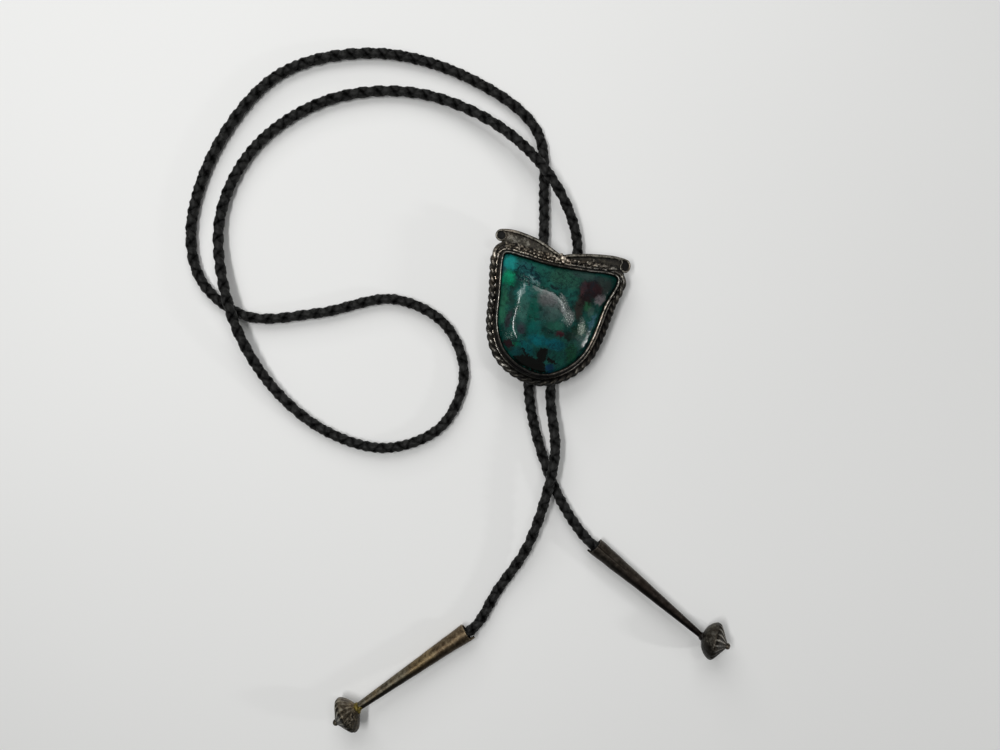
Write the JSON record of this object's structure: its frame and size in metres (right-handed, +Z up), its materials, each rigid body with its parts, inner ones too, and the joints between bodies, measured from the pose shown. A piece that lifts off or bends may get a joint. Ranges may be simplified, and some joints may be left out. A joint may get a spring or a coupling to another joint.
{
  "type": "bolo tie",
  "caption": "Bolo tie: one braided leather cord through a clip behind a stone set silver slide, with cone and bead tips on its ends.",
  "frame": {"origin": "on the surface the tie lies on, under the middle of the box round the slide and the two tips", "axes": "+X to the wearer's left across the tie as seen from the front, +Y from the tips towards the neck loop, +Z up from the surface through the face of the stone"},
  "size_m": [0.1935, 0.2424, 0.016],
  "materials": {
    "stone": "polished",
    "slide_silver": "satin",
    "clip_metal": "satin",
    "tip_silver": "satin",
    "cord_leather": "satin"
  },
  "bodies": {
    "root": {"stone": "stone", "setting": "slide_silver", "cord_clip": "clip_metal", "tip_left": "tip_silver", "tip_right": "tip_silver", "cord": "cord_leather"}
  },
  "joints": []
}
